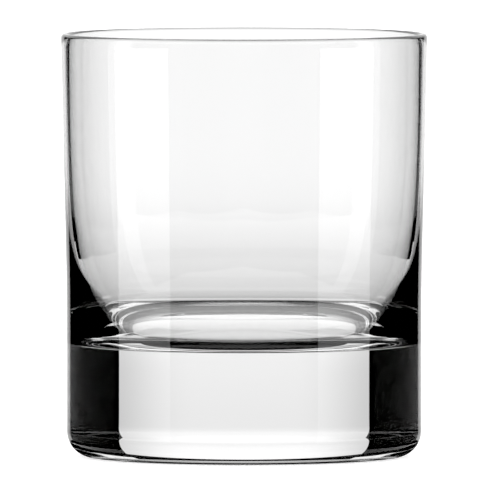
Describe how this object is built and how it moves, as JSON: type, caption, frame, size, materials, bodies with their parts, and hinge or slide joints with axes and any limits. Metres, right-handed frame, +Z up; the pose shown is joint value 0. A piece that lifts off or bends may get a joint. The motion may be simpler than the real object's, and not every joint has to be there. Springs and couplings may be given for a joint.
{
  "type": "whiskey tumbler",
  "caption": "Straight-sided rocks tumbler in clear glass with a thick solid base, a gently flared thin wall and a rounded rim.",
  "frame": {"origin": "centre of the resting ring on the table plane, on the axis of revolution", "axes": "+Z up along the axis of revolution, through the mouth; X and Y lie in the table plane and are interchangeable"},
  "size_m": [0.0848, 0.0848, 0.098],
  "materials": {
    "glass": "clear colourless soda-lime glass, fire-polished"
  },
  "bodies": {
    "root": {"tumbler": "glass"}
  },
  "joints": []
}
